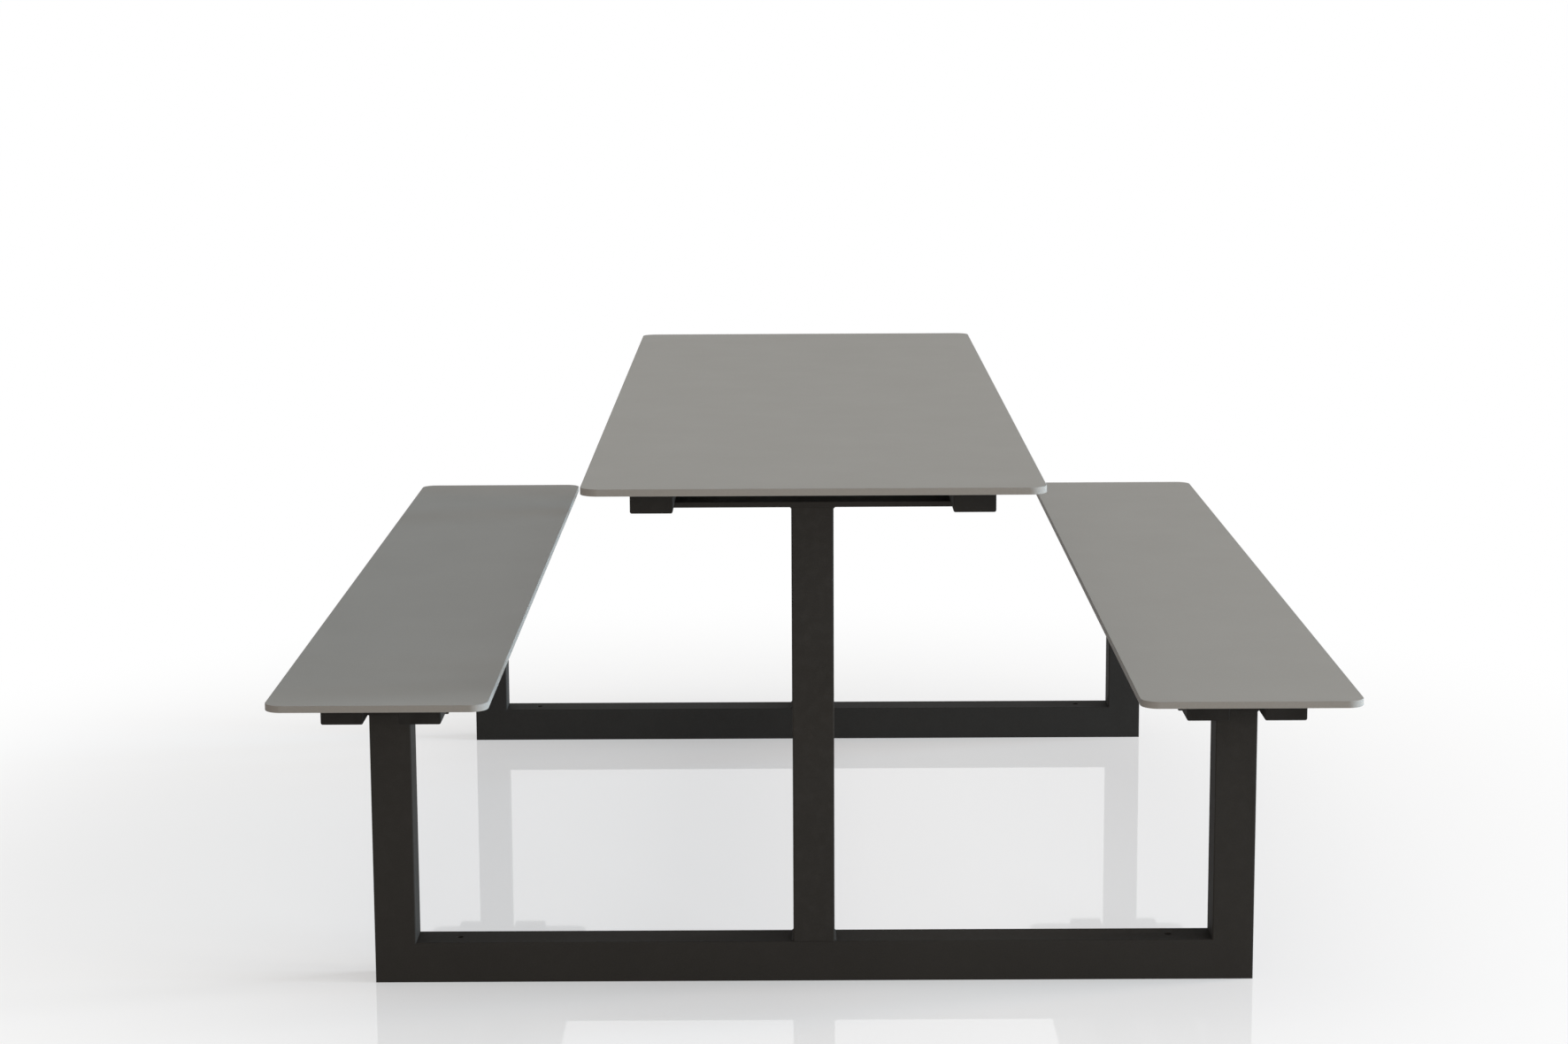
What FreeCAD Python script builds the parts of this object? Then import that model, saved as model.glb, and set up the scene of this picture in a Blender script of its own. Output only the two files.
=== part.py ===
import FreeCAD, Part
import math
import os

# A cafeteria table with a bench on each side, all on two welded end frames.
# Millimetres. X runs across the table from bench to bench, Y runs along it, Z is up.
# The origin is on the floor under the middle of the tabletop.

# Slabs of compact laminate
slab_length = 2000.0
slab_thickness = 10.0
slab_corner_radius = 25.0
slab_edge_radius = 0.8
table_width = 640.0
table_height = 760.0
seat_width = 310.0
seat_height = 460.0
seat_centre = 606.5             # from the middle of the table to the middle of a seat

# End frames of square tube
frame_setback = 200.0           # from the end of the slabs to the frame's outer face
tube_side = 60.0
tube_wall = 3.0
tube_corner_radius = 2.0
tube_bore_radius = 1.0
seat_post_offset = 5.0          # from the middle of a seat outwards to the middle of its post
plate_thickness = 8.0
plate_edge_radius = 0.8
weld_leg = 2.5
weld_bulge = 0.3
anchor_hole_radius = 5.0
anchor_inset = 121.5            # from the end of the base rail to its anchor hole

# Rails of rectangular tube under the slabs
rail_setback = 100.0            # from the end of the slabs to the end of the capped rails
rail_width = 60.0
rail_height = 40.0
rail_wall = 2.0
rail_corner_radius = 3.0
rail_bore_radius = 1.0
table_rail_inset = 94.0         # from the tabletop's long edges to the middles of its rails
seat_rail_inset = 100.0         # the same for a seat whose post stands under its middle

# Plastic caps in the ends of the rails
cap_thickness = 3.0
cap_edge_radius = 0.9
cap_plug_depth = 15.0
cap_plug_wall = 2.0
cap_plug_gap = 2.0              # from the plug to the rail's bore, bridged by the ribs
cap_rib_clearance = 0.1
cap_rib_thickness = 1.2
cap_rib_count = 3

# Button head bolts, washers and rivet nuts that hold the rails on the frames' head plates
bolt_pitch = 30.0               # along the rail, two bolts on each head plate
bolt_diameter = 8.0
bolt_head_diameter = 14.0
bolt_head_height = 4.4
bolt_socket_width = 5.0
bolt_socket_depth = 2.6
bolt_hole_clearance = 0.5
bolt_tip_gap = 2.6              # from the end of the rivet nut down to the end of the bolt
washer_diameter = 16.0
washer_thickness = 1.6
washer_clearance = 0.2
nut_length = 18.0
nut_body_diameter = 11.0
nut_flange_diameter = 13.0
nut_flange_thickness = 0.75
nut_bulge_diameter = 14.0
nut_bulge_height = 5.0
nut_clearance = 0.05

# Screws through the rails' upper walls into threaded inserts in the slabs
screw_diameter = 5.0
screw_head_diameter = 9.5
screw_head_height = 2.75
screw_socket_width = 3.0
screw_socket_depth = 1.4
screw_hole_clearance = 0.25
screw_tip_gap = 1.5
screw_access_radius = 7.0       # hole in the rail's lower wall that lets the key in
screw_frame_gap = 50.0          # from the end frames' inner faces to the nearest screws
inner_screw_count = 4
insert_diameter = 8.0
insert_cover = 2.4              # laminate left above the insert's hole
insert_groove = 0.4
insert_clearance = 0.05

# Edges of small turned pieces
thread_clearance = 0.05
small_chamfer = 0.3
head_rim = 0.5
crown_margin = 0.5

# Sizes that follow
seat_post_x = seat_centre + seat_post_offset
base_length = 2 * seat_post_x + tube_side
table_rail_spacing = table_width - 2 * table_rail_inset
seat_rail_spacing = seat_width - 2 * seat_rail_inset
frame_outer_y = slab_length / 2 - frame_setback
frame_y = frame_outer_y - tube_side / 2
frame_inner_y = frame_outer_y - tube_side
rail_end_y = slab_length / 2 - rail_setback
table_rail_top = table_height - slab_thickness
seat_rail_top = seat_height - slab_thickness
table_plate_top = table_rail_top - rail_height
seat_plate_top = seat_rail_top - rail_height
insert_hole_depth = slab_thickness - insert_cover
insert_length = insert_hole_depth - insert_clearance

X = FreeCAD.Vector(1, 0, 0)
Y = FreeCAD.Vector(0, 1, 0)
Z = FreeCAD.Vector(0, 0, 1)
tiny = 1e-6


def point(x, y, z):
    return FreeCAD.Vector(x, y, z)


def placed(shape, x, y, z):
    copy = shape.copy()
    copy.translate(point(x, y, z))
    return copy


# A box between two corners, with the edges along one axis rounded.
def bar(low, high, axis, radius):
    size = high - low
    body = Part.makeBox(size.x, size.y, size.z, low)
    along = [e for e in body.Edges if abs(e.tangentAt(e.FirstParameter).dot(axis)) > 1 - tiny]
    return body.makeFillet(radius, along)


# A hollow bar, open at both ends of its axis.
def tube(low, high, axis, wall, radius, bore_radius):
    inset = (X + Y + Z - axis) * wall
    bore = bar(low + inset, high - inset, axis, bore_radius)
    return bar(low, high, axis, radius).cut(bore)


# A solid turned about Z from (radius, height) corners.
def turned(corners):
    ring = [point(radius, 0, height) for radius, height in corners]
    outline = Part.makePolygon(ring + ring[:1])
    return Part.Face(outline).revolve(point(0, 0, 0), Z, 360)


# A vertical round hole from one height to another.
def hole(x, y, low, high, radius):
    return Part.makeCylinder(radius, high - low, point(x, y, low))


# Where the frame bolts stand along the rails: a pair over each end frame.
def bolt_ys():
    return[side * frame_y + half * bolt_pitch / 2 for side in (-1, 1) for half in (-1, 1)]


# Where the slab screws stand along the rails: one beyond each end frame, the rest evenly between.
def screw_ys():
    outer =(frame_outer_y + rail_end_y) / 2
    inner = frame_inner_y - screw_frame_gap
    pitch = 2 * inner / (inner_screw_count - 1)
    between = [-inner + pitch * number for number in range(inner_screw_count)]
    return [-outer] + between + [outer]


table_rail_xs = [side * table_rail_spacing / 2 for side in (-1, 1)]
seat_rail_xs = {side: [side * seat_post_x + half * seat_rail_spacing / 2 for half in (-1, 1)]
                for side in (-1, 1)}


# A slab with rounded corners and eased edges, and a blind hole over each screw of its rails.
def slab(centre_x, width, top, rail_xs):
    low = point(centre_x - width / 2, -slab_length / 2, top - slab_thickness)
    high = point(centre_x + width / 2, slab_length / 2, top)
    body = bar(low, high, Z, slab_corner_radius)
    rim = [e for e in body.Edges if e.BoundBox.ZLength < tiny]
    body = body.makeFillet(slab_edge_radius, rim)
    holes = [hole(x, y, low.z, low.z + insert_hole_depth, insert_diameter / 2 + insert_clearance)
             for x in rail_xs for y in screw_ys()]
    return body.cut(holes)


# A rail with its rivet nut seats below, its screw holes above and the key's access holes below.
def rail(centre_x, top):
    bottom = top - rail_height
    end = rail_end_y - cap_thickness
    low = point(centre_x - rail_width / 2, -end, bottom)
    high = point(centre_x + rail_width / 2, end, top)
    body = tube(low, high, Y, rail_wall, rail_corner_radius, rail_bore_radius)
    cuts = []
    for y in bolt_ys():
        body_radius = nut_body_diameter / 2 + nut_clearance
        flange_radius = nut_flange_diameter / 2 + nut_clearance
        cuts.append(hole(centre_x, y, bottom, bottom + rail_wall, body_radius))
        cuts.append(hole(centre_x, y, bottom, bottom + nut_flange_thickness, flange_radius))
    for y in screw_ys():
        screw_radius = screw_diameter / 2 + screw_hole_clearance
        cuts.append(hole(centre_x, y, top - rail_wall, top, screw_radius))
        cuts.append(hole(centre_x, y, bottom, bottom + rail_wall, screw_access_radius))
    return body.cut(cuts)


# A cap for the rail's +Y end: a plate with an eased face and a hollow ribbed plug.
def cap(centre_x, top):
    bottom = top - rail_height
    seat = rail_end_y - cap_thickness
    half = rail_width / 2
    plate = bar(point(centre_x - half, seat, bottom), point(centre_x + half, rail_end_y, top),
                Y, rail_corner_radius)
    face_rim = [e for e in plate.Edges
                if e.BoundBox.YLength < tiny and e.BoundBox.YMax > rail_end_y - tiny]
    plate = plate.makeFillet(cap_edge_radius, face_rim)

    def block(inset, inner_y, outer_y, radius):
        low = point(centre_x - half + inset, inner_y, bottom + inset)
        high = point(centre_x + half - inset, outer_y, top - inset)
        return bar(low, high, Y, radius)

    plug_inset = rail_wall + cap_plug_gap
    rib_inset = rail_wall + cap_rib_clearance
    plug_end = seat - cap_plug_depth
    body = plate.fuse(block(plug_inset, plug_end, seat, rail_bore_radius))
    rib_pitch = (cap_plug_depth - cap_rib_thickness) / cap_rib_count
    for number in range(cap_rib_count):
        rib_y = plug_end + number * rib_pitch
        body = body.fuse(block(rib_inset, rib_y, rib_y + cap_rib_thickness, rail_bore_radius))
    return body.cut(block(plug_inset + cap_plug_wall, plug_end, seat, rail_bore_radius))


# All that lies outside the 45 degree plane between the base rail and a seat post.
def outside_mitre(side, low_y, high_y):
    reach = table_height
    corner = base_length / 2
    corners = [(corner + reach, -reach), (corner - reach, reach), (corner + reach, reach)]
    ring = [point(side * x, low_y, z) for x, z in corners]
    outline = Part.makePolygon(ring + ring[:1])
    return Part.Face(outline).extrude(Y * (high_y - low_y))


def frame_tube(low, high, axis):
    return tube(low, high, axis, tube_wall, tube_corner_radius, tube_bore_radius)


# The tube along the floor, mitred at both ends, with a hole through it at each end for a floor anchor.
def base_rail(low_y, high_y):
    half = base_length / 2
    body = frame_tube(point(-half, low_y, 0), point(half, high_y, tube_side), X)
    cuts = [outside_mitre(side, low_y, high_y) for side in (-1, 1)]
    for side in (-1, 1):
        anchor_x = side * (half - anchor_inset)
        cuts.append(hole(anchor_x, (low_y + high_y) / 2, 0, tube_side, anchor_hole_radius))
    return body.cut(cuts)


def seat_post(side, low_y, high_y):
    centre = side * seat_post_x
    half = tube_side / 2
    body = frame_tube(point(centre - half, low_y, 0),
                      point(centre + half, high_y, seat_plate_top - plate_thickness), Z)
    return body.common(outside_mitre(side, low_y, high_y))


def centre_post(low_y, high_y):
    half = tube_side / 2
    return frame_tube(point(-half, low_y, tube_side),
                      point(half, high_y, table_plate_top - plate_thickness), Z)


# A flat bar across the top of a post, with two bolt holes under each rail.
def head_plate(rail_xs, top, low_y, high_y):
    bottom = top - plate_thickness
    low = point(min(rail_xs) - rail_width / 2, low_y, bottom)
    high = point(max(rail_xs) + rail_width / 2, high_y, top)
    body = bar(low, high, Z, plate_edge_radius)
    body = body.makeFillet(plate_edge_radius, [e for e in body.Edges if e.BoundBox.ZLength < tiny])
    radius = bolt_diameter / 2 + bolt_hole_clearance
    holes = [hole(x, y, bottom, top, radius)
             for x in rail_xs for y in bolt_ys() if low_y < y < high_y]
    return body.cut(holes)


# A slightly domed fillet weld along Y in the corner at (x, z), on the side and height given by the signs.
def weld_bead(x, z, side, rise, low_y, high_y):
    corner = point(x, low_y, z)
    foot = corner + X * side * weld_leg
    top = corner + Z * rise * weld_leg
    outwards = (X * side + Z * rise).normalize()
    crest = (foot + top) * 0.5 + outwards * weld_bulge
    outline = Part.Wire([Part.LineSegment(corner, foot).toShape(),
                         Part.Arc(foot, crest, top).toShape(),
                         Part.LineSegment(top, corner).toShape()])
    return Part.Face(outline).extrude(Y * (high_y - low_y))


# The beads on both sides of the centre post's foot and head, and of each seat post's head.
def weld_beads(low_y, high_y):
    start = low_y + tube_corner_radius
    end = high_y - tube_corner_radius
    half = tube_side / 2
    joints = [(0, tube_side, 1), (0, table_plate_top - plate_thickness, -1)]
    joints += [(side * seat_post_x, seat_plate_top - plate_thickness, -1) for side in (-1, 1)]
    return Part.makeCompound([weld_bead(centre + side * half, z, side, rise, start, end)
                              for centre, z, rise in joints for side in (-1, 1)])


# A button head screw whose head hangs below z = 0 and whose shank rises from it.
def button_screw(diameter, head_diameter, head_height, socket_width, socket_depth, length):
    shank = diameter / 2
    rim = head_diameter / 2
    socket_radius = socket_width / math.sqrt(3)
    crown = socket_radius + crown_margin
    edge = point(rim, 0, -head_rim)
    brow = point(crown, 0, -head_height)
    chord = brow - edge
    outwards = point(-chord.z, 0, chord.x).normalize()
    if outwards.x < 0:
        outwards = -outwards
    dome_rise = chord.Length / 8
    dome = Part.Arc(edge, (edge + brow) * 0.5 + outwards * dome_rise, brow).toShape()
    above = [brow, point(0, 0, -head_height), point(0, 0, length),
             point(shank - small_chamfer, 0, length), point(shank, 0, length - small_chamfer),
             point(shank, 0, 0), point(rim, 0, 0), edge]
    sides = [Part.LineSegment(a, b).toShape() for a, b in zip(above, above[1:])]
    body = Part.Face(Part.Wire([dome] + sides)).revolve(point(0, 0, 0), Z, 360)
    turns = [number * math.pi / 3 for number in range(7)]
    hexagon = Part.makePolygon([point(socket_radius * math.cos(turn), socket_radius * math.sin(turn),
                                      -head_height) for turn in turns])
    return body.cut(Part.Face(hexagon).extrude(Z * socket_depth))


def bolt():
    length = washer_thickness + plate_thickness + nut_length - bolt_tip_gap
    return button_screw(bolt_diameter, bolt_head_diameter, bolt_head_height,
                        bolt_socket_width, bolt_socket_depth, length)


def washer():
    inner = bolt_diameter / 2 + washer_clearance
    outer = washer_diameter / 2
    return turned([(inner, 0), (outer - small_chamfer, 0), (outer, small_chamfer),
                   (outer, washer_thickness - small_chamfer), (outer - small_chamfer, washer_thickness),
                   (inner, washer_thickness)])


# A set rivet nut: its flange sits flush in the wall and its bulge grips the wall from inside.
def rivet_nut():
    bore = bolt_diameter / 2 + thread_clearance
    body = nut_body_diameter / 2
    flange = nut_flange_diameter / 2
    bulge = nut_bulge_diameter / 2
    bulge_top = rail_wall + nut_bulge_height
    return turned([(bore, 0), (flange, 0), (flange, nut_flange_thickness), (body, nut_flange_thickness),
                   (body, rail_wall), (bulge - small_chamfer, rail_wall),
                   (bulge, rail_wall + small_chamfer), (bulge, (rail_wall + bulge_top) / 2),
                   (body, bulge_top), (body, nut_length - small_chamfer),
                   (body - small_chamfer, nut_length), (bore, nut_length)])


def slab_screw():
    length = rail_wall + insert_length - screw_tip_gap
    return button_screw(screw_diameter, screw_head_diameter, screw_head_height,
                        screw_socket_width, screw_socket_depth, length)


# A threaded insert with two grooves round its outside.
def slab_insert():
    bore = screw_diameter / 2 + thread_clearance
    outer = insert_diameter / 2
    bands = 5
    band = insert_length / bands
    corners = [(bore, 0)]
    for number in range(bands):
        radius = outer - insert_groove * (number % 2)
        corners += [(radius, number * band), (radius, (number + 1) * band)]
    return turned(corners + [(bore, insert_length)])


# One fastener repeated on every rail of a slab, at the given places along the rails.
def row_of(fastener, rail_xs, ys, z):
    return Part.makeCompound([placed(fastener, x, y, z) for x in rail_xs for y in ys])


def mirrored_y(shape):
    return shape.mirror(point(0, 0, 0), Y)


def rails_and_caps(names, rail_xs, top):
    pieces = {}
    for name, x in zip(names, rail_xs):
        pieces[name] = rail(x, top)
        pieces[name + "_back_cap"] = cap(x, top)
        pieces[name + "_front_cap"] = mirrored_y(cap(x, top))
    return pieces


# The bolts and washers under each head plate, and the nuts, screws and inserts along the rails.
def fasteners(name, rail_xs, top):
    rail_bottom = top - rail_height
    washer_bottom = rail_bottom - plate_thickness - washer_thickness
    pieces = {name + "_rivet_nuts": row_of(rivet_nut(), rail_xs, bolt_ys(), rail_bottom),
              name + "_screws": row_of(slab_screw(), rail_xs, screw_ys(), top - rail_wall),
              name + "_inserts": row_of(slab_insert(), rail_xs, screw_ys(), top)}
    for end, side in (("front", -1), ("back", 1)):
        ys = [y for y in bolt_ys() if y * side > 0]
        pieces[end + "_" + name + "_bolts"] = row_of(bolt(), rail_xs, ys, washer_bottom)
        pieces[end + "_" + name + "_washers"] = row_of(washer(), rail_xs, ys, washer_bottom)
    return pieces


def end_frame(name, low_y, high_y):
    return {name + "_base_rail": base_rail(low_y, high_y),
            name + "_centre_post": centre_post(low_y, high_y),
            name + "_left_post": seat_post(-1, low_y, high_y),
            name + "_right_post": seat_post(1, low_y, high_y),
            name + "_table_plate": head_plate(table_rail_xs, table_plate_top, low_y, high_y),
            name + "_left_seat_plate": head_plate(seat_rail_xs[-1], seat_plate_top, low_y, high_y),
            name + "_right_seat_plate": head_plate(seat_rail_xs[1], seat_plate_top, low_y, high_y),
            name + "_weld_beads": weld_beads(low_y, high_y)}


def table():
    pieces = {"tabletop": slab(0, table_width, table_height, table_rail_xs),
              "left_seat": slab(-seat_centre, seat_width, seat_height, seat_rail_xs[-1]),
              "right_seat": slab(seat_centre, seat_width, seat_height, seat_rail_xs[1])}
    pieces.update(rails_and_caps(["table_left_rail", "table_right_rail"], table_rail_xs, table_rail_top))
    pieces.update(rails_and_caps(["left_seat_outer_rail", "left_seat_inner_rail"],
                                 seat_rail_xs[-1], seat_rail_top))
    pieces.update(rails_and_caps(["right_seat_inner_rail", "right_seat_outer_rail"],
                                 seat_rail_xs[1], seat_rail_top))
    pieces.update(end_frame("front_frame", -frame_outer_y, -frame_inner_y))
    pieces.update(end_frame("back_frame", frame_inner_y, frame_outer_y))
    pieces.update(fasteners("table", table_rail_xs, table_rail_top))
    pieces.update(fasteners("left_seat", seat_rail_xs[-1], seat_rail_top))
    pieces.update(fasteners("right_seat", seat_rail_xs[1], seat_rail_top))
    return pieces


os.makedirs("parts", exist_ok=True)
for node, shape in table().items():
    shape.exportStep("parts/" + node + ".step")
    print(node, len(shape.Solids), "solids,", round(shape.Volume / 1000, 1), "cm3, valid", shape.isValid())
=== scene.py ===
import math

import bmesh
import bpy
from mathutils import Matrix, Vector


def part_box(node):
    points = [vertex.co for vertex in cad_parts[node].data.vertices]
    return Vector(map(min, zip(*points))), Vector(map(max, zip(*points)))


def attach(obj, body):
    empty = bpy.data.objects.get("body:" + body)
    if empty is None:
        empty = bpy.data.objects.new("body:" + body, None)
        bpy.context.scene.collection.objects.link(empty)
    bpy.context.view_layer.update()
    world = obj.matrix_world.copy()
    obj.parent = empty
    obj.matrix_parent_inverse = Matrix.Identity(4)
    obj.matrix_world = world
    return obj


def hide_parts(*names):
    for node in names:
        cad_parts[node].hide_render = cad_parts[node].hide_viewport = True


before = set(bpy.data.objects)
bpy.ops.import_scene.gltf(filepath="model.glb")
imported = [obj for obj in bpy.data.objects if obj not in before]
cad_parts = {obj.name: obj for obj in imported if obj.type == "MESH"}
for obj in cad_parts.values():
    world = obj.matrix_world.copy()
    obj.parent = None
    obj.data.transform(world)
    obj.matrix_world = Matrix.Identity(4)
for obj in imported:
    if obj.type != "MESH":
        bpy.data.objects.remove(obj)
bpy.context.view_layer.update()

# A cafeteria table with a bench on each side. Metres: X across, Y along, Z up, the floor at zero.
print("frame loaded,", len(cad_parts), "nodes")


class Signal:   # one socket in a node tree, that plain arithmetic builds on
    def __init__(self, tree, socket=None):
        self.tree = tree
        self.socket = socket

    def node(self, kind, settings=None, sockets=None, output=0):
        made = self.tree.nodes.new(kind)
        for name, value in (settings or {}).items():
            setattr(made, name, value)
        for name, value in (sockets or {}).items():
            if isinstance(value, Signal):
                self.tree.links.new(value.socket, made.inputs[name])
            else:
                made.inputs[name].default_value = value
        return Signal(self.tree, made.outputs[output] if made.outputs else None)

    def maths(self, operation, first, second=0.0):
        return self.node("ShaderNodeMath", {"operation": operation}, {0: first, 1: second})

    def __add__(self, other):
        return self.maths("ADD", self, other)

    __radd__ = __add__

    def __sub__(self, other):
        return self.maths("SUBTRACT", self, other)

    def __rsub__(self, other):
        return self.maths("SUBTRACT", other, self)

    def __mul__(self, other):
        return self.maths("MULTIPLY", self, other)

    __rmul__ = __mul__

    def remap(self, span, target=(0.0, 1.0), kind="LINEAR"):
        return self.node("ShaderNodeMapRange", {"interpolation_type": kind, "clamp": True},
                         {"Value": self, "From Min": span[0], "From Max": span[1],
                          "To Min": target[0], "To Max": target[1]})


noiseSpan = (0.3, 0.7)      # most of a noise's values lie between these


def newMaterial(name):   # its empty sheet of nodes, and the place on the piece
    material = bpy.data.materials.new(name)
    material.use_nodes = True
    material.node_tree.nodes.clear()
    sheet = Signal(material.node_tree)
    return material, sheet, sheet.node("ShaderNodeTexCoord", None, None, "Object")


def noise(sheet, place, grain):   # grain is the noise's scale, detail and roughness
    scale, detail, roughness = grain
    return sheet.node("ShaderNodeTexNoise", None,
                      {"Vector": place, "Scale": scale, "Detail": detail, "Roughness": roughness})


def tint(sheet, factor, first, second):   # 6 and 7 are the Mix node's colours, 2 is its mixed colour
    ends = [end if isinstance(end, Signal) else end + (1.0,) for end in (first, second)]
    return sheet.node("ShaderNodeMix", {"data_type": "RGBA"}, {"Factor": factor, 6: ends[0], 7: ends[1]}, 2)


def bump(sheet, height, depth):
    return sheet.node("ShaderNodeBump", None, {"Height": height, "Distance": depth})


def finishMaterial(sheet, colour, roughness, normal, fixed):   # fixed holds what is the same all over
    shader = sheet.node("ShaderNodeBsdfPrincipled", None,
                        {"Base Color": colour, "Roughness": roughness, "Normal": normal, **fixed})
    sheet.node("ShaderNodeOutputMaterial", None, {"Surface": shader})


faceLook = {    # the slabs' pressed faces
    "dark": (0.246, 0.242, 0.229),      # the colour wanders between these two
    "light": (0.258, 0.254, 0.241),
    "roughness": (0.59, 0.63),
    "specular": 0.2,
    "clouds": (2.2, 4.0, 0.55),
    "specks": (420.0, 2.0, 0.6),
    "cloudShare": 0.2,
    "mottleSpan": (0.34, 0.66),
    "rubbed": (9.0, 5.0, 0.6),
    "rubbedSpan": (0.35, 0.7),
    "grain": (900.0, 2.0, 0.6),         # the fine matt texture
    "grainDepth": 0.000012,
}


def makeLaminateFace():
    look = faceLook
    material, sheet, place = newMaterial("laminateFace")
    clouds = noise(sheet, place, look["clouds"])
    specks = noise(sheet, place, look["specks"])
    mottle = clouds * look["cloudShare"] + specks * (1.0 - look["cloudShare"])
    colour = tint(sheet, mottle.remap(look["mottleSpan"]), look["dark"], look["light"])
    rubbed = noise(sheet, place, look["rubbed"]).remap(look["rubbedSpan"], look["roughness"])
    grain = bump(sheet, noise(sheet, place, look["grain"]), look["grainDepth"])
    finishMaterial(sheet, colour, rubbed, grain, {"Specular IOR Level": look["specular"]})
    return material


edgeLookWithPaintedShade = {    # the slabs' cut edges: scraped layers that are their own texture, on a tone painted darker and warmer than the faces as shade of the upright sides under warm front light
    # painted shade: both colours are the faces' grey made darker and warmer
    "dark": (0.205, 0.194, 0.176),
    "light": (0.221, 0.211, 0.191),
    "roughness": (0.64, 0.72),
    "specular": 0.2,
    "sheet": 0.00026,                   # thickness of one pressed layer
    "wander": (14.0, 2.0, 0.5),         # the layers rise and fall a little
    "wanderHeight": 0.0003,
    "layerShare": 0.15,                 # how much the layers show beside the scraping
    "scraped": (260.0, 3.0, 0.6),
    "scrapeDepth": 0.00003,
}


def makeLaminateEdgeWithPaintedShade():
    look = edgeLookWithPaintedShade
    material, sheet, place = newMaterial("laminateEdgePaintedShade")
    height = sheet.node("ShaderNodeSeparateXYZ", None, {"Vector": place}, "Z")
    wander = noise(sheet, place, look["wander"]) * look["wanderHeight"]
    layers = sheet.maths("FRACT", (height + wander) * (1.0 / look["sheet"]))
    layer = sheet.maths("ABSOLUTE", layers - 0.5) * 2.0         # down and up once in each layer
    scraped = noise(sheet, place, look["scraped"])
    marks = layer * look["layerShare"] + scraped * (1.0 - look["layerShare"])
    # the layer and scraping marks are real texture; the darker, warmer colours they mix are painted shade
    colour = tint(sheet, marks.remap(noiseSpan), look["dark"], look["light"])
    roughness = scraped.remap(noiseSpan, look["roughness"])
    relief = bump(sheet, marks, look["scrapeDepth"])
    finishMaterial(sheet, colour, roughness, relief, {"Specular IOR Level": look["specular"]})
    return material


powderLook = {
    "dark": (0.0224, 0.0208, 0.0187),
    "light": (0.0298, 0.0280, 0.0252),
    "worn": (0.045, 0.043, 0.040),      # thin coat on the tubes' rounded edges
    "roughness": (0.66, 0.74),
    "specular": 0.05,
    "broad": (6.0, 4.0, 0.6),
    "broadShare": 0.4,
    "mottleSpan": (0.32, 0.68),
    "peel": (620.0, 2.0, 0.5),          # orange peel, with a finer grit on it
    "grit": (2600.0, 1.0, 0.5),
    "gritShare": 0.4,
    "peelDepth": 0.00003,
    "sharpness": (0.56, 0.64),          # of an edge that starts to wear, and of one worn most
    "mostWear": 0.5,
    "patches": (60.0, 3.0, 0.6),        # the wear comes in patches
    "patchSpan": (0.45, 0.7),
}


def makePowderCoat():
    look = powderLook
    material, sheet, place = newMaterial("powderCoat")
    peel = noise(sheet, place, look["peel"])
    grit = noise(sheet, place, look["grit"])
    broad = noise(sheet, place, look["broad"])
    mottle = broad * look["broadShare"] + peel * (1.0 - look["broadShare"])
    colour = tint(sheet, mottle.remap(look["mottleSpan"]), look["dark"], look["light"])
    sharp = sheet.node("ShaderNodeNewGeometry", None, None, "Pointiness")
    patches = noise(sheet, place, look["patches"]).remap(look["patchSpan"])
    wear = sharp.remap(look["sharpness"], (0.0, look["mostWear"])) * patches
    colour = tint(sheet, wear, colour, look["worn"])
    roughness = broad.remap(noiseSpan, look["roughness"])
    relief = bump(sheet, peel + grit * look["gritShare"], look["peelDepth"])
    finishMaterial(sheet, colour, roughness, relief, {"Specular IOR Level": look["specular"]})
    return material


plasticLook = {
    "dark": (0.0163, 0.0155, 0.0143),
    "light": (0.0232, 0.0220, 0.0201),
    "roughness": (0.62, 0.70),
    "specular": 0.05,
    "flow": (30.0, 3.0, 0.5),           # marks where the plastic ran into the mould
    "spark": (1400.0, 2.0, 0.7),        # the mould's eroded grain
    "sparkDepth": 0.00002,
}


def makeCapPlastic():
    look = plasticLook
    material, sheet, place = newMaterial("capPlastic")
    flow = noise(sheet, place, look["flow"])
    spark = noise(sheet, place, look["spark"])
    colour = tint(sheet, flow.remap(noiseSpan), look["dark"], look["light"])
    roughness = flow.remap(noiseSpan, look["roughness"])
    relief = bump(sheet, spark, look["sparkDepth"])
    finishMaterial(sheet, colour, roughness, relief, {"Specular IOR Level": look["specular"]})
    return material


metalLooks = {
    "blackZinc": {"dark": (0.050, 0.050, 0.052), "light": (0.095, 0.094, 0.092), "roughness": (0.32, 0.5)},
    "washerZinc": {"dark": (0.30, 0.30, 0.30), "light": (0.42, 0.42, 0.41), "roughness": (0.34, 0.5)},
    "nutZinc": {"dark": (0.42, 0.42, 0.41), "light": (0.58, 0.57, 0.53), "roughness": (0.28, 0.42)},
    "insertBrass": {"dark": (0.50, 0.36, 0.15), "light": (0.66, 0.50, 0.24), "roughness": (0.26, 0.4)},
}
metalGrain = {
    "patches": (180.0, 4.0, 0.6),
    "fine": (1500.0, 2.0, 0.6),
    "fineShare": 0.5,
    "depth": 0.00001,
}


def makeMetal(name):
    look = metalLooks[name]
    material, sheet, place = newMaterial(name)
    patches = noise(sheet, place, metalGrain["patches"])
    fine = noise(sheet, place, metalGrain["fine"])
    colour = tint(sheet, patches.remap(noiseSpan), look["dark"], look["light"])
    mixed = patches * (1.0 - metalGrain["fineShare"]) + fine * metalGrain["fineShare"]
    roughness = mixed.remap(noiseSpan, look["roughness"])
    relief = bump(sheet, fine + patches, metalGrain["depth"])
    finishMaterial(sheet, colour, roughness, relief, {"Metallic": 1.0})
    return material


laminateFace = makeLaminateFace()
laminateEdgePaintedShade = makeLaminateEdgeWithPaintedShade()
powderCoat = makePowderCoat()
capPlastic = makeCapPlastic()
metals = {name: makeMetal(name) for name in metalLooks}
print("materials made")


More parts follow.
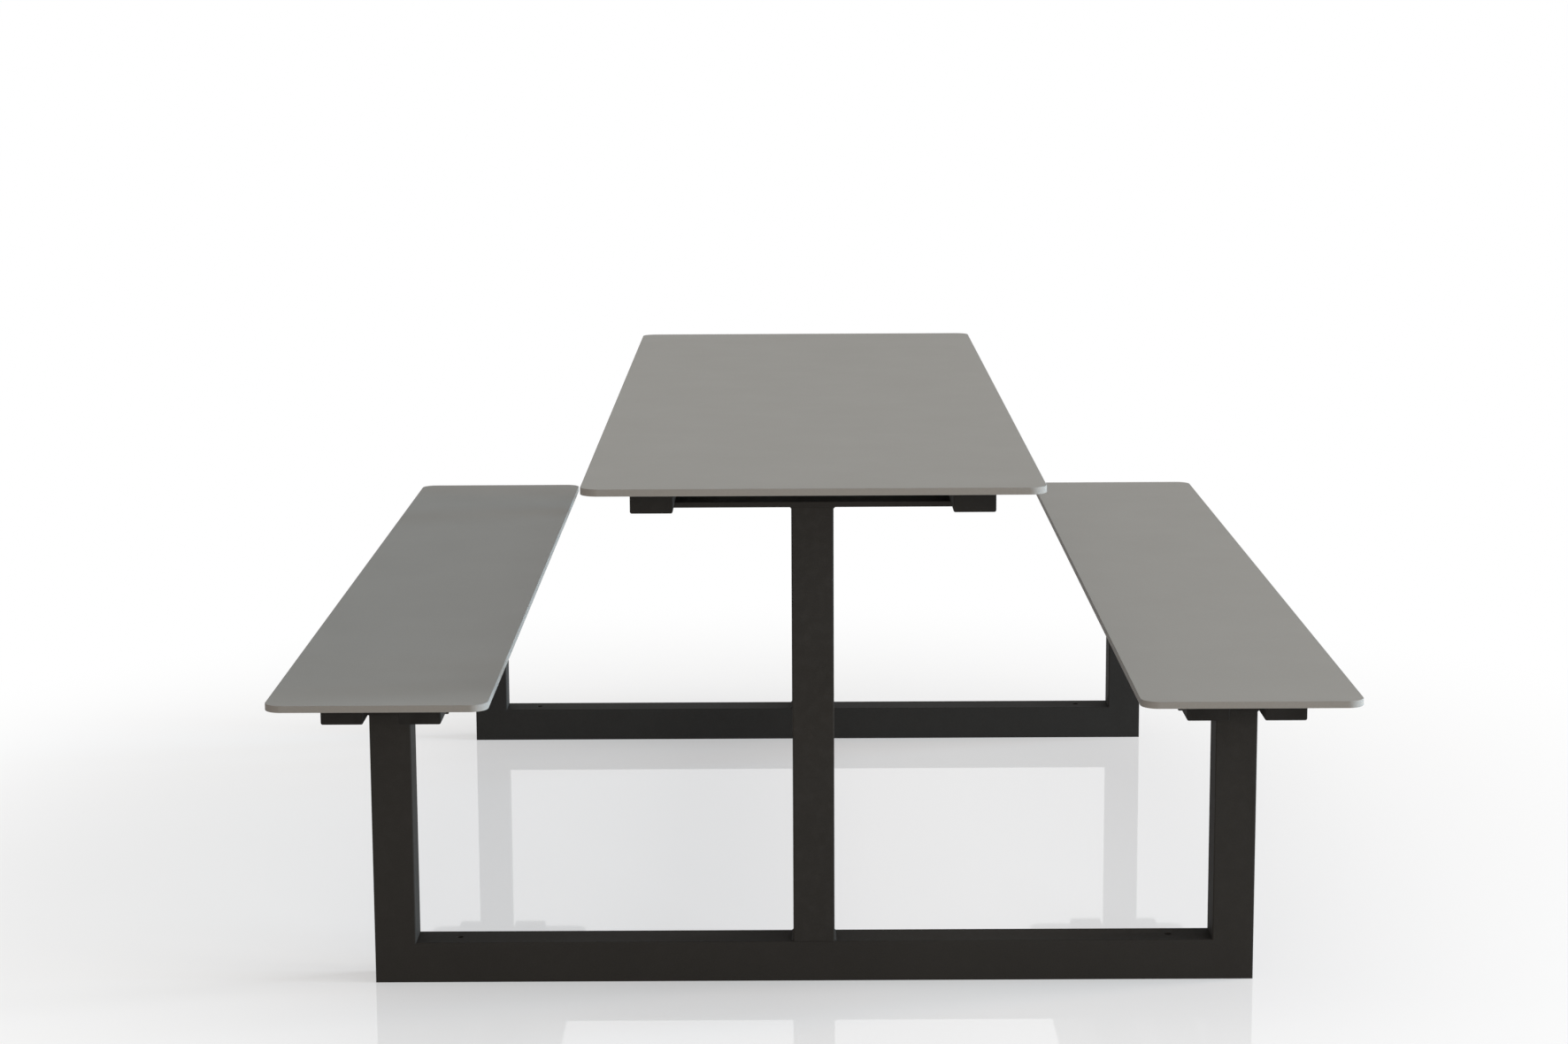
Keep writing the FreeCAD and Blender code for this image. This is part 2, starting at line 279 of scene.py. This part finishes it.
overrun = 0.001         # how far a cutter reaches past what it cuts
wallPlay = 0.0005       # how far a drill goes past a tube's wall
tiny = 0.000001         # places nearer than this are the same
aligned = 0.99          # an edge or a normal with this share along an axis lies along it
creases = {"flats": 35.0, "welds": 50.0, "fasteners": 28.0}     # degrees past which an edge stays sharp


def deselectAll():
    if bpy.context.object and bpy.context.object.mode != "OBJECT":
        bpy.ops.object.mode_set(mode="OBJECT")
    bpy.ops.object.select_all(action="DESELECT")


def useOnly(piece):
    deselectAll()
    piece.select_set(True)
    bpy.context.view_layer.objects.active = piece


def block(name, low, high):
    deselectAll()
    bpy.ops.mesh.primitive_cube_add(size=1, location=(low + high) / 2, scale=high - low)
    piece = bpy.context.object
    piece.name = name
    bpy.ops.object.transform_apply(location=True, rotation=True, scale=True)
    return piece


def rod(radius, bottom, top, steps):   # an upright cylinder round the Z axis
    deselectAll()
    bpy.ops.mesh.primitive_cylinder_add(vertices=steps, radius=radius, depth=top - bottom,
                                        location=(0, 0, (bottom + top) / 2))
    bpy.ops.object.transform_apply(location=True, rotation=True, scale=True)
    return bpy.context.object


def pick(piece, kind, wanted):   # selects only the faces or edges that wanted() accepts
    if piece.mode != "EDIT":
        useOnly(piece)
        bpy.ops.object.mode_set(mode="EDIT")
    bpy.ops.mesh.select_mode(type=kind)
    bpy.ops.mesh.select_all(action="DESELECT")
    shape = bmesh.from_edit_mesh(piece.data)
    for item in (shape.faces if kind == "FACE" else shape.edges):
        if wanted(item):
            item.select_set(True)
    bmesh.update_edit_mesh(piece.data)


def runsAlong(edge, axis):
    step = edge.verts[1].co - edge.verts[0].co
    return abs(step[axis]) > aligned * step.length


def isLevel(edge):
    return abs(edge.verts[1].co.z - edge.verts[0].co.z) < tiny


def roundEdges(piece, wanted, radius, steps):
    pick(piece, "EDGE", wanted)
    bpy.ops.mesh.bevel(offset_type="OFFSET", offset=radius, segments=steps, profile=0.5,
                       affect="EDGES", clamp_overlap=False)


def extrudeUp(rise):
    bpy.ops.mesh.extrude_region_move(TRANSFORM_OT_translate={"value": (0, 0, rise)})


def scaleInPlace(factor, height):
    bpy.ops.transform.resize(value=(factor, factor, 1), center_override=(0, 0, height))


def cut(piece, tool):   # takes the tool's volume out of the piece
    useOnly(piece)
    step = piece.modifiers.new("cut", "BOOLEAN")
    step.operation = "DIFFERENCE"
    step.solver = "EXACT"
    step.object = tool
    bpy.ops.object.modifier_apply(modifier=step.name)
    bpy.data.objects.remove(tool)


def joined(pieces, name):
    deselectAll()
    for piece in pieces:
        piece.select_set(True)
    bpy.context.view_layer.objects.active = pieces[0]
    if len(pieces) > 1:
        bpy.ops.object.join()
    pieces[0].name = name
    return pieces[0]


def drills(holes, steps):   # round cutters from (x, y, bottom, top, radius)
    tools = []
    for x, y, bottom, top, radius in holes:
        tool = rod(radius, bottom, top, steps)
        tool.data.transform(Matrix.Translation((x, y, 0.0)))
        tools.append(tool)
    return joined(tools, "drills")


def smooth(piece):   # smooth shading that keeps the flats flat
    useOnly(piece)
    bpy.ops.object.shade_smooth_by_angle(angle=math.radians(creases["flats"]))
    step = piece.modifiers.new("flats", "WEIGHTED_NORMAL")
    step.keep_sharp = True
    step.weight = 100                   # the largest faces decide
    bpy.ops.object.modifier_apply(modifier=step.name)


def placedCopy(first, move):   # each copy has its own mesh
    copy = first.copy()
    copy.data = first.data.copy()
    bpy.context.scene.collection.objects.link(copy)
    copy.data.transform(move)
    return copy


def mergedCopies(copies, name, crease):   # one piece of them all, with its normals outwards
    row = joined(copies, name)
    pick(row, "FACE", lambda face: True)
    bpy.ops.mesh.normals_make_consistent(inside=False)
    bpy.ops.object.mode_set(mode="OBJECT")
    useOnly(row)
    bpy.ops.object.shade_smooth_by_angle(angle=math.radians(crease))
    return row


def finishPiece(piece, node, materials):
    piece.data.name = piece.name
    piece.data.materials.clear()
    for material in materials:
        piece.data.materials.append(material)
    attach(piece, "root")
    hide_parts(node)


def middle(node):
    low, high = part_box(node)
    return (low + high) / 2


railsUnder = {
    "tabletop": ("table_left_rail", "table_right_rail"),
    "left_seat": ("left_seat_outer_rail", "left_seat_inner_rail"),
    "right_seat": ("right_seat_inner_rail", "right_seat_outer_rail"),
}
screwPlaces = (-0.850, -0.690, -0.230, 0.230, 0.690, 0.850)     # along each rail
boltReach = 0.015       # from the middle of an end frame to the bolts before and behind it

railMiddles = {slab: [middle(rail).x for rail in rails] for slab, rails in railsUnder.items()}
frameMiddles = {end: middle(end + "_frame_base_rail").y for end in ("front", "back")}
boltPlaces = {end: (y - boltReach, y + boltReach) for end, y in frameMiddles.items()}
allBoltPlaces = boltPlaces["front"] + boltPlaces["back"]

slabSizes = {
    "corner": 0.025,
    "cornerSteps": 22,
    "easing": 0.0008,           # small rounding along the top and bottom rims
    "easingSteps": 4,
    "insertHole": 0.00405,      # radius of the hole for a threaded insert
    "insertDepth": 0.0076,
    "holeSteps": 32,
    "faceRise": 0.6,            # a normal steeper than this belongs to a face, any other to an edge
}


def makeSlab(node):
    sizes = slabSizes
    low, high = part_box(node)
    slab = block(node + "_slab", low, high)
    roundEdges(slab, lambda edge: runsAlong(edge, 2), sizes["corner"], sizes["cornerSteps"])
    roundEdges(slab, isLevel, sizes["easing"], sizes["easingSteps"])
    holes = [(x, y, low.z - overrun, low.z + sizes["insertDepth"], sizes["insertHole"])
             for x in railMiddles[node] for y in screwPlaces]
    cut(slab, drills(holes, sizes["holeSteps"]))
    smooth(slab)
    finishPiece(slab, node, [laminateFace, laminateEdgePaintedShade])
    # upright sides get the edge material, whose darker, warmer tone is painted shade
    for face in slab.data.polygons:
        face.material_index = 0 if abs(face.normal.z) > sizes["faceRise"] else 1


for node in railsUnder:
    makeSlab(node)
print("slabs made")


tubeSizes = {
    "rail": {"wall": 0.002, "corner": 0.003, "steps": 6, "boreCorner": 0.001, "boreSteps": 3},
    "frame": {"wall": 0.003, "corner": 0.002, "steps": 5, "boreCorner": 0.001, "boreSteps": 3},
}


def makeTube(name, low, high, axis, sizes):
    tube = block(name, low, high)
    roundEdges(tube, lambda edge: runsAlong(edge, axis), sizes["corner"], sizes["steps"])
    inset = Vector((sizes["wall"],) * 3)
    inset[axis] = -overrun
    bore = block(name + "_bore", low + inset, high - inset)
    roundEdges(bore, lambda edge: runsAlong(edge, axis), sizes["boreCorner"], sizes["boreSteps"])
    cut(tube, bore)
    return tube


railHoles = {
    "nutBody": 0.00555,         # radii
    "nutFlange": 0.00655,
    "flangeDepth": 0.00075,
    "screw": 0.00275,
    "access": 0.007,            # lets the key in from below
    "steps": 40,
}


def makeRail(node):
    low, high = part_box(node)
    x = middle(node).x
    rail = makeTube(node + "_tube", low, high, 1, tubeSizes["rail"])
    wall = tubeSizes["rail"]["wall"] + wallPlay
    start = low.z - overrun
    holes = [(x, y, start, low.z + wall, railHoles["nutBody"]) for y in allBoltPlaces]
    holes += [(x, y, start, low.z + wall, railHoles["access"]) for y in screwPlaces]
    holes += [(x, y, high.z - wall, high.z + overrun, railHoles["screw"]) for y in screwPlaces]
    cut(rail, drills(holes, railHoles["steps"]))
    seats = [(x, y, start, low.z + railHoles["flangeDepth"], railHoles["nutFlange"]) for y in allBoltPlaces]
    cut(rail, drills(seats, railHoles["steps"]))
    smooth(rail)
    finishPiece(rail, node, [powderCoat])


for rails in railsUnder.values():
    for node in rails:
        makeRail(node)
print("rails made")


anchorHoles = {"radius": 0.005, "places": (-0.520, 0.520), "steps": 48}


def makeBaseRail(node):
    low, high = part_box(node)
    base = makeTube(node + "_tube", low, high, 0, tubeSizes["frame"])
    for corner in base.data.vertices:           # mitred ends
        if abs(abs(corner.co.x) - high.x) < tiny:
            corner.co.x = math.copysign(high.x - corner.co.z, corner.co.x)
    wall = tubeSizes["frame"]["wall"] + wallPlay
    holes = [(x, middle(node).y, bottom, top, anchorHoles["radius"]) for x in anchorHoles["places"]
             for bottom, top in ((low.z - overrun, low.z + wall), (high.z - wall, high.z + overrun))]
    cut(base, drills(holes, anchorHoles["steps"]))
    smooth(base)
    finishPiece(base, node, [powderCoat])


def makePost(node, mitreFrom=None):   # an outer post's foot is cut to meet the base rail's mitre
    low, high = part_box(node)
    post = makeTube(node + "_tube", low, high, 2, tubeSizes["frame"])
    if mitreFrom:
        for corner in post.data.vertices:
            if abs(corner.co.z - low.z) < tiny:
                corner.co.z = mitreFrom - abs(corner.co.x)
    smooth(post)
    finishPiece(post, node, [powderCoat])


plateSizes = {"easing": 0.0008, "easingSteps": 3, "boltHole": 0.0045, "holeSteps": 32}
plateSlabs = {"table_plate": "tabletop", "left_seat_plate": "left_seat", "right_seat_plate": "right_seat"}


def makePlate(end, kind):
    node = end + "_frame_" + kind
    low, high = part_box(node)
    plate = block(node + "_bar", low, high)
    roundEdges(plate, lambda edge: True, plateSizes["easing"], plateSizes["easingSteps"])
    holes = [(x, y, low.z - overrun, high.z + overrun, plateSizes["boltHole"])
             for x in railMiddles[plateSlabs[kind]] for y in boltPlaces[end]]
    cut(plate, drills(holes, plateSizes["holeSteps"]))
    smooth(plate)
    finishPiece(plate, node, [powderCoat])


for end in frameMiddles:
    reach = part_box(end + "_frame_base_rail")[1].x
    makeBaseRail(end + "_frame_base_rail")
    makePost(end + "_frame_centre_post")
    makePost(end + "_frame_left_post", reach)
    makePost(end + "_frame_right_post", reach)
    for kind in plateSlabs:
        makePlate(end, kind)
print("end frames made")


weldSizes = {
    "leg": 0.0025,
    "length": 0.056,
    "half": 0.030,              # half a tube's side
    "steps": 32,
    "slices": 120,
    "hollow": 0.16,             # how much flatter than a quarter round
    "ripple": 0.0019,           # from one ripple to the next
    "depth": 0.10,              # of the ripples, as a share of the leg
    "toeDepth": 0.35,           # share of that depth which is left along the bead's two toes
    "sag": 0.0011,              # how far a ripple's middle lags behind its ends
    "wobbles": ((0.03, 410.0, 0.0), (0.02, 977.0, 1.3)),        # share of the leg, turn a metre, start
    "taper": 0.0022,            # length over which an end closes
    "endShare": 0.45,           # of the leg, that an end keeps
}


def weldScale(x, y, z):   # how much of the plain rod is left at a place on the bead
    sizes = weldSizes
    lean = math.sin(2 * math.atan2(z, x)) if x > 0 and z > 0 else 0.0       # one midway, none at a toe
    turn = (y + sizes["sag"] * lean) / sizes["ripple"]
    ripple = (turn - math.floor(turn)) ** 2 * (sizes["toeDepth"] + (1.0 - sizes["toeDepth"]) * lean)
    wobble = sum(share * math.sin(y * rate + start) for share, rate, start in sizes["wobbles"])
    end = min(1.0, (sizes["length"] / 2 - abs(y)) / sizes["taper"])
    rounding = math.sqrt(max(0.0, 1.0 - (1.0 - end) ** 2))
    close = sizes["endShare"] + (1.0 - sizes["endShare"]) * rounding
    return (1.0 - sizes["hollow"] * lean) * (1.0 - sizes["depth"] * ripple) * (1.0 + wobble) * close


def makeBead():   # one bead at the origin, in the corner between +X and +Z, along Y
    sizes = weldSizes
    bead = rod(sizes["leg"], -sizes["length"] / 2, sizes["length"] / 2, sizes["steps"])
    bead.data.transform(Matrix.Rotation(math.pi / 2, 4, "X"))
    pick(bead, "EDGE", lambda edge: runsAlong(edge, 1))
    bpy.ops.mesh.subdivide(number_cuts=sizes["slices"] - 1)
    for normal in ((1, 0, 0), (0, 0, 1)):
        bpy.ops.mesh.select_all(action="SELECT")
        bpy.ops.mesh.bisect(plane_co=(0, 0, 0), plane_no=normal, use_fill=True, clear_inner=True)
    bpy.ops.object.mode_set(mode="OBJECT")
    for corner in bead.data.vertices:
        x, y, z = corner.co
        if math.hypot(x, z) > tiny:
            scale = weldScale(x, y, z)
            corner.co.x = x * scale
            corner.co.z = z * scale
    return bead


def makeWelds(end, bead):
    node = end + "_frame_weld_beads"
    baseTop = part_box(end + "_frame_base_rail")[1].z
    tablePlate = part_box(end + "_frame_table_plate")[0].z
    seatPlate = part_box(end + "_frame_left_seat_plate")[0].z
    seatPost = middle(end + "_frame_right_post").x
    joints = [(0.0, baseTop, 1), (0.0, tablePlate, -1),
              (-seatPost, seatPlate, -1), (seatPost, seatPlate, -1)]
    beads = []
    for centre, height, rise in joints:         # rise is 1 above a face and -1 below it
        for side in (-1, 1):
            move = Matrix.Translation((centre + side * weldSizes["half"], frameMiddles[end], height))
            beads.append(placedCopy(bead, move @ Matrix.Diagonal((side, 1, rise, 1))))
    welds = mergedCopies(beads, node + "_runs", creases["welds"])
    finishPiece(welds, node, [powderCoat])


bead = makeBead()
for end in frameMiddles:
    makeWelds(end, bead)
bpy.data.objects.remove(bead)
print("welds made")


boltSizes = {
    "shank": 0.004,             # radii, the socket's to its flats
    "head": 0.007,
    "socket": 0.0025,
    "socketDepth": 0.0026,
    "height": 0.0044,           # of the head
    "rim": 0.0005,              # straight part of the head
    "length": 0.025,
    "end": 0.0006,              # easing at the tip
    "steps": 48,
}
screwSizes = {
    "shank": 0.0025,
    "head": 0.00475,
    "socket": 0.0015,
    "socketDepth": 0.0014,
    "height": 0.00275,
    "rim": 0.0004,
    "length": 0.00805,
    "end": 0.0004,
    "steps": 36,
}
domeSizes = {
    "rings": 8,
    "turn": 0.86 * math.pi / 2,     # how far round the dome goes
    "crown": 0.0005,                # flat left round the socket's corners
    "inset": 0.0003,                # makes the ring that is then moved onto the key's hexagon
}


def makeButtonScrew(sizes):   # head below the origin, shank up along Z
    screw = rod(sizes["head"], -sizes["rim"], 0.0, sizes["steps"])
    pick(screw, "FACE", lambda face: face.normal.z < -aligned)
    crown = sizes["socket"] * 2 / math.sqrt(3) + domeSizes["crown"]
    radius = sizes["head"]
    height = -sizes["rim"]
    for number in range(1, domeSizes["rings"] + 1):
        turn = domeSizes["turn"] * number / domeSizes["rings"]
        drop = math.sin(turn) / math.sin(domeSizes["turn"])
        share = (1 - math.cos(turn)) / (1 - math.cos(domeSizes["turn"]))
        lower = -sizes["rim"] - (sizes["height"] - sizes["rim"]) * drop
        wanted = sizes["head"] - (sizes["head"] - crown) * share
        extrudeUp(lower - height)
        scaleInPlace(wanted / radius, lower)
        radius = wanted
        height = lower
    bpy.ops.mesh.inset(thickness=domeSizes["inset"])
    shape = bmesh.from_edit_mesh(screw.data)            # the inner ring becomes the key's hexagon
    for corner in (c for f in shape.faces if f.select for c in f.verts):
        turn = math.atan2(corner.co.y, corner.co.x) % (math.pi / 3) - math.pi / 6
        scale = sizes["socket"] / math.cos(turn) / math.hypot(corner.co.x, corner.co.y)
        corner.co.x *= scale
        corner.co.y *= scale
    bmesh.update_edit_mesh(screw.data)
    extrudeUp(sizes["socketDepth"])
    pick(screw, "FACE", lambda face: face.normal.z > aligned)
    bpy.ops.mesh.inset(thickness=sizes["head"] - sizes["shank"])
    extrudeUp(sizes["length"] - sizes["end"])
    extrudeUp(sizes["end"])
    scaleInPlace(1 - sizes["end"] / sizes["shank"], sizes["length"])
    bpy.ops.object.mode_set(mode="OBJECT")
    return screw


washerSizes = {
    "bore": 0.0042,             # radii
    "outer": 0.008,
    "thickness": 0.0016,
    "easing": 0.0003,
    "easingSteps": 3,
    "steps": 48,
}


def makeWasher():
    sizes = washerSizes
    washer = rod(sizes["outer"], 0.0, sizes["thickness"], sizes["steps"])
    pick(washer, "FACE", lambda face: abs(face.normal.z) > aligned)
    bpy.ops.mesh.inset(thickness=sizes["outer"] - sizes["bore"], use_individual=True)
    bpy.ops.mesh.bridge_edge_loops()
    roundEdges(washer, lambda edge: isLevel(edge) and all(
        math.hypot(c.co.x, c.co.y) > sizes["outer"] - tiny for c in edge.verts),
        sizes["easing"], sizes["easingSteps"])
    bpy.ops.object.mode_set(mode="OBJECT")
    return washer


def repeat(first, node, name, places, material):
    copies = [placedCopy(first, Matrix.Translation(place)) for place in places]
    finishPiece(mergedCopies(copies, name, creases["fasteners"]), node, [material])


bolt = makeButtonScrew(boltSizes)
screw = makeButtonScrew(screwSizes)
washer = makeWasher()
for slab, middles in railMiddles.items():
    group = "table" if slab == "tabletop" else slab
    for end in frameMiddles:
        node = end + "_" + group + "_washers"
        places = [(x, y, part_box(node)[0].z) for x in middles for y in boltPlaces[end]]
        repeat(washer, node, node + "_rings", places, metals["washerZinc"])
        node = end + "_" + group + "_bolts"
        repeat(bolt, node, node + "_set", places, metals["blackZinc"])
    node = group + "_screws"
    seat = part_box(node)[0].z + screwSizes["height"]
    places = [(x, y, seat) for x in middles for y in screwPlaces]
    repeat(screw, node, node + "_set", places, metals["blackZinc"])
for spare in (bolt, screw, washer):
    bpy.data.objects.remove(spare)
print("bolts, washers and screws made")


keptFinishes = {"_cap": capPlastic, "_rivet_nuts": metals["nutZinc"], "_inserts": metals["insertBrass"]}
for name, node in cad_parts.items():       # the nodes that stay as they are
    for ending, material in keptFinishes.items():
        if name.endswith(ending):
            for place in node.material_slots:
                place.material = material
print("finishes given")


def seenRays(sheet):   # one for what the eye or a mirror sees, zero for what lights the object
    rays = [sheet.node("ShaderNodeLightPath", None, None, "Is " + kind + " Ray")
            for kind in ("Camera", "Glossy", "Transmission")]
    return sheet.maths("MAXIMUM", sheet.maths("MAXIMUM", rays[0], rays[1]), rays[2])


plainWhite = {"Color": (1.0, 1.0, 1.0, 1.0), "Strength": 1.0}
floorLook = {
    "size": 160.0,
    "colour": (0.80, 0.80, 0.80),
    "roughness": 0.025,
    "ior": 1.45,
    "middle": (0.0, -0.1, 0.0),
    "stretch": (0.87, 0.80, 1.0),
    "fade": (0.65, 1.85),       # where the floor starts to fade to plain white, and where it is all white
    "lift": 0.365,              # share of plain white under the table
}


def makeFloor():
    look = floorLook
    deselectAll()
    bpy.ops.mesh.primitive_plane_add(size=look["size"], location=(0, 0, 0))
    floor = bpy.context.object
    floor.name = "studio_floor"
    material, sheet, place = newMaterial("studioFloor")
    ground = sheet.node("ShaderNodeBsdfPrincipled", None, {
        "Base Color": look["colour"] + (1.0,), "Roughness": look["roughness"], "IOR": look["ior"]})
    away = sheet.node("ShaderNodeVectorMath", {"operation": "SUBTRACT"}, {0: place, 1: look["middle"]})
    away = sheet.node("ShaderNodeVectorMath", {"operation": "MULTIPLY"}, {0: away, 1: look["stretch"]})
    distance = sheet.node("ShaderNodeVectorMath", {"operation": "LENGTH"}, {0: away}, "Value")
    fade = distance.remap(look["fade"], (look["lift"], 1.0), "SMOOTHSTEP")
    white = sheet.node("ShaderNodeEmission", None, plainWhite)
    mixed = sheet.node("ShaderNodeMixShader", None, {0: fade * seenRays(sheet), 1: ground, 2: white})
    sheet.node("ShaderNodeOutputMaterial", None, {"Surface": mixed})
    floor.data.materials.append(material)


worldLook = {"colour": (0.275, 0.265, 0.244), "strength": 1.0}


def makeWorld():
    world = bpy.data.worlds.new("studio")
    bpy.context.scene.world = world
    world.use_nodes = True
    world.node_tree.nodes.clear()
    sheet = Signal(world.node_tree)
    room = sheet.node("ShaderNodeBackground", None,
                      {"Color": worldLook["colour"] + (1.0,), "Strength": worldLook["strength"]})
    white = sheet.node("ShaderNodeBackground", None, plainWhite)
    mixed = sheet.node("ShaderNodeMixShader", None, {0: seenRays(sheet), 1: room, 2: white})
    sheet.node("ShaderNodeOutputWorld", None, {"Surface": mixed})


lampLooks = {
    "windowLow": {"place": (8.0, -1.0, 0.8), "size": (2.0, 1.6), "power": 1068.0,
                  "colour": (0.599, 0.798, 1.0)},
    "windowMiddle": {"place": (8.0, 1.0, 2.6), "size": (2.0, 2.0), "power": 263.0,
                     "colour": (1.0, 0.656, 0.438)},
    "rightFront": {"place": (3.6, -3.6, 1.6), "size": (3.0, 3.0), "power": 68.4,
                   "colour": (0.862, 0.927, 1.0)},
    "front": {"place": (0.0, -6.5, 1.2), "size": (5.0, 2.0), "power": 99.5,
              "colour": (1.0, 0.84, 0.725)},
    "left": {"place": (-8.0, 0.0, 3.0), "size": (6.0, 2.0), "power": 79.3,
             "colour": (1.0, 0.853, 0.965)},
    "overhead": {"place": (0.0, 0.0, 4.2), "size": (4.0, 4.0), "power": 31.0,
                 "colour": (0.976, 1.0, 0.922)},
}
lampAim = Vector((0.0, 0.0, 0.4))       # the middle of the table
distantLooks = {    # broad light from far off to the right: degrees round from X, degrees up
    "farBack": {"from": (12, 29), "power": 0.111, "colour": (1.0, 0.519, 0.151)},
    "farMiddle": {"from": (-1, 29), "power": 0.652, "colour": (1.0, 0.981, 0.951)},
    "farFront": {"from": (-14, 29), "power": 0.391, "colour": (1.0, 0.957, 0.908)},
    "farLow": {"from": (12, 9), "power": 2.056, "colour": (0.522, 0.788, 1.0)},
}
distantSpread = 11      # degrees across, each


def addLamp(name, kind, look, away):
    data = bpy.data.lights.new(name, kind)
    data.energy = look["power"]
    data.color = look["colour"]
    lamp = bpy.data.objects.new(name, data)
    bpy.context.scene.collection.objects.link(lamp)
    lamp.rotation_euler = away.to_track_quat("-Z", "Y").to_euler()
    lamp.visible_camera = False
    lamp.visible_glossy = False         # or the polished floor shows the lamps
    return lamp


def makeLamps():
    for name, look in lampLooks.items():
        lamp = addLamp(name, "AREA", look, lampAim - Vector(look["place"]))
        lamp.location = look["place"]
        lamp.data.shape = "RECTANGLE"
        lamp.data.size, lamp.data.size_y = look["size"]
    for name, look in distantLooks.items():
        around, up = (math.radians(angle) for angle in look["from"])
        toward = Vector((math.cos(around) * math.cos(up), math.sin(around) * math.cos(up), math.sin(up)))
        addLamp(name, "SUN", look, -toward).data.angle = math.radians(distantSpread)


cameraLook = {
    "place": (-0.0321809, -5.3188229, 1.4296727),
    "down": 9.408842,           # degrees
    "turn": -0.110061,
    "roll": -0.293624,
    "focal": 3623.1333,         # in pixels of a frame this wide
    "frameWidth": 1772,
    "sensor": 36.0,             # millimetres
    "reach": 300.0,             # metres it sees
}


def makeCamera():
    look = cameraLook
    down, turn, roll = (math.radians(look[key]) for key in ("down", "turn", "roll"))
    ahead = Vector((math.sin(turn) * math.cos(down), math.cos(turn) * math.cos(down), -math.sin(down)))
    right = Vector((math.cos(turn), -math.sin(turn), 0))
    over = right.cross(ahead)
    rolledRight = math.cos(roll) * right + math.sin(roll) * over
    rolledOver = -math.sin(roll) * right + math.cos(roll) * over
    data = bpy.data.cameras.new("camera")
    data.sensor_fit = "HORIZONTAL"
    data.sensor_width = look["sensor"]
    data.lens = look["sensor"] * look["focal"] / look["frameWidth"]
    data.clip_end = look["reach"]
    camera = bpy.data.objects.new("camera", data)
    bpy.context.scene.collection.objects.link(camera)
    pose = Matrix((rolledRight, rolledOver, -ahead)).transposed().to_4x4()
    pose.translation = look["place"]
    camera.matrix_world = pose
    bpy.context.scene.camera = camera


makeFloor()
makeWorld()
makeLamps()
makeCamera()
bpy.context.scene.view_settings.view_transform = "Standard"
print("studio made")
